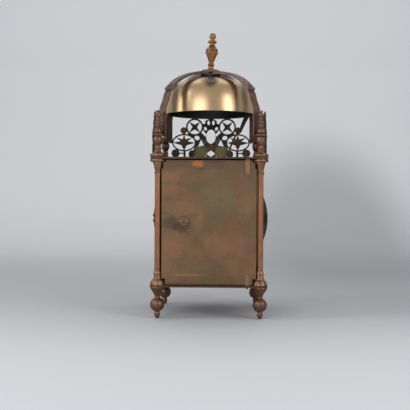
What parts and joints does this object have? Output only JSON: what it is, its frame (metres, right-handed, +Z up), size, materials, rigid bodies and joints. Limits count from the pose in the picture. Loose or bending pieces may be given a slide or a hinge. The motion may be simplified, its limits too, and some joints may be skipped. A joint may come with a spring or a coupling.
{
  "type": "lantern clock",
  "caption": "Brass lantern clock: posted case on turned feet, bell under crossed straps, pierced frets, hinged doors, chapter ring with one hand, two-train movement inside",
  "frame": {"origin": "centre of the footprint on the floor, under the four feet", "axes": "+Z up; the dial faces -Y and the rear door +Y; +X is on the right of someone who faces the dial"},
  "size_m": [0.174, 0.1707, 0.3941],
  "materials": {
    "plate_brass": "aged brass, satin, brown patina",
    "turned_bronze": "polished turned bronze, reddish",
    "strap_bronze": "dull brown bronze strip",
    "dark_bronze": "dark blackened bronze",
    "finial_bronze": "dark polished bronze with amber highlights",
    "bell_brass": "polished bell metal, golden tan",
    "fret_brass": "cast brass, olive brown patina",
    "door_brass": "sheet brass with olive brown patina",
    "door_fittings": "brown bronze",
    "dial_brass": "brushed sheet brass",
    "chapter_silvered": "silvered brass with black numerals",
    "blued_steel": "blackened steel",
    "movement_brass": "satin brass",
    "steel": "polished steel"
  },
  "bodies": {
    "case": {"bottom_plate": "plate_brass", "top_plate": "plate_brass", "foot_front_left": "turned_bronze", "foot_front_right": "turned_bronze", "foot_rear_left": "turned_bronze", "foot_rear_right": "turned_bronze", "pillar_front_left": "turned_bronze", "pillar_front_right": "turned_bronze", "pillar_rear_left": "turned_bronze", "pillar_rear_right": "turned_bronze", "finial_urn_front_left": "turned_bronze", "finial_urn_front_right": "turned_bronze", "finial_urn_rear_left": "turned_bronze", "finial_urn_rear_right": "turned_bronze", "upper_finial_front_left": "turned_bronze", "upper_finial_front_right": "turned_bronze", "upper_finial_rear_left": "turned_bronze", "upper_finial_rear_right": "turned_bronze", "strap_leg_front_left": "strap_bronze", "strap_leg_front_right": "strap_bronze", "strap_leg_rear_left": "strap_bronze", "strap_leg_rear_right": "strap_bronze", "strap_cross": "dark_bronze", "strap_boss": "dark_bronze", "strap_rivets": "strap_bronze", "bell": "bell_brass", "bell_nut_and_washer": "steel", "top_finial": "finial_bronze", "fret_front": "fret_brass", "fret_left": "fret_brass", "fret_right": "fret_brass", "fret_screws": "steel", "dial_plate": "dial_brass", "chapter_ring": "chapter_silvered", "front_bar": "movement_brass", "middle_bar": "movement_brass", "rear_bar": "movement_brass"},
    "rear_door_body": {"rear_door": "door_brass", "rear_door_hinges": "door_fittings", "rear_door_knob": "door_fittings"},
    "left_door_body": {"left_door": "door_brass", "left_door_hinges": "door_fittings", "left_door_knob": "door_fittings"},
    "right_door_body": {"right_door": "door_brass", "right_door_hinges": "door_fittings", "right_door_knob": "door_fittings"},
    "going_great_arbor": {"going_great_wheel": "movement_brass"},
    "second_arbor": {"second_wheel": "movement_brass"},
    "escape_arbor": {"escape_wheel": "movement_brass"},
    "anchor_and_pendulum": {"anchor": "steel", "pendulum": "movement_brass"},
    "hour_arbor": {"dial_wheel": "movement_brass", "hour_hand": "blued_steel"},
    "strike_great_arbor": {"strike_great_wheel": "movement_brass"},
    "hoop_arbor": {"hoop_wheel": "movement_brass"},
    "warning_arbor": {"warning_wheel": "movement_brass"},
    "fly_arbor": {"fly": "steel"},
    "count_wheel_body": {"count_wheel": "movement_brass"},
    "hammer_body": {"hammer": "steel"},
    "detent_body": {"locking_detent": "steel"}
  },
  "joints": [
    {"name": "rear_door_hinge", "type": "hinge", "parent": "case", "child": "rear_door_body", "pos_m": [-0.051, 0.072, 0.129], "axis": [0, 0, 1], "range_deg": [0, 100]},
    {"name": "right_door_hinge", "type": "hinge", "parent": "case", "child": "right_door_body", "pos_m": [0.072, 0.051, 0.129], "axis": [0, 0, 1], "range_deg": [0, 100]},
    {"name": "left_door_hinge", "type": "hinge", "parent": "case", "child": "left_door_body", "pos_m": [-0.072, 0.051, 0.129], "axis": [0, 0, -1], "range_deg": [0, 100]},
    {"name": "going_great_turn", "type": "hinge", "parent": "case", "child": "going_great_arbor", "pos_m": [0, -0.03, 0.084], "axis": [0, 1, 0], "continuous": true},
    {"name": "second_turn", "type": "hinge", "parent": "case", "child": "second_arbor", "pos_m": [0, -0.03, 0.118], "axis": [0, 1, 0], "continuous": true},
    {"name": "escape_turn", "type": "hinge", "parent": "case", "child": "escape_arbor", "pos_m": [0, -0.03, 0.1459], "axis": [0, 1, 0], "continuous": true},
    {"name": "hour_turn", "type": "hinge", "parent": "case", "child": "hour_arbor", "pos_m": [0, -0.07, 0.129], "axis": [0, 1, 0], "continuous": true},
    {"name": "pendulum_swing", "type": "hinge", "parent": "case", "child": "anchor_and_pendulum", "pos_m": [0, 0, 0.16994], "axis": [0, 1, 0], "range_deg": [-3, 3]},
    {"name": "strike_great_turn", "type": "hinge", "parent": "case", "child": "strike_great_arbor", "pos_m": [0, 0.02, 0.084], "axis": [0, 1, 0], "continuous": true},
    {"name": "hoop_turn", "type": "hinge", "parent": "case", "child": "hoop_arbor", "pos_m": [0, 0.02, 0.118], "axis": [0, 1, 0], "continuous": true},
    {"name": "warning_turn", "type": "hinge", "parent": "case", "child": "warning_arbor", "pos_m": [0, 0.02, 0.1404], "axis": [0, 1, 0], "continuous": true},
    {"name": "fly_turn", "type": "hinge", "parent": "case", "child": "fly_arbor", "pos_m": [0, 0.02, 0.1551], "axis": [0, 1, 0], "continuous": true},
    {"name": "count_turn", "type": "hinge", "parent": "case", "child": "count_wheel_body", "pos_m": [0, 0.05, 0.112], "axis": [0, 1, 0], "continuous": true},
    {"name": "hammer_swing", "type": "hinge", "parent": "case", "child": "hammer_body", "pos_m": [-0.026, 0.02, 0.15], "axis": [0, 1, 0], "range_deg": [-0.4, 8], "stiffness_Nm_per_rad": 0.05},
    {"name": "detent_lift", "type": "hinge", "parent": "case", "child": "detent_body", "pos_m": [0.026, 0.02, 0.128], "axis": [0, 1, 0], "range_deg": [0, 6]}
  ],
  "couplings": [
    {"joint": "second_turn", "follows": "going_great_turn", "ratio": -7.5},
    {"joint": "escape_turn", "follows": "going_great_turn", "ratio": 50.625},
    {"joint": "hour_turn", "follows": "going_great_turn", "ratio": -0.25},
    {"joint": "hoop_turn", "follows": "strike_great_turn", "ratio": -7.5},
    {"joint": "warning_turn", "follows": "strike_great_turn", "ratio": 45},
    {"joint": "fly_turn", "follows": "strike_great_turn", "ratio": -270},
    {"joint": "count_turn", "follows": "strike_great_turn", "ratio": -0.16667}
  ]
}
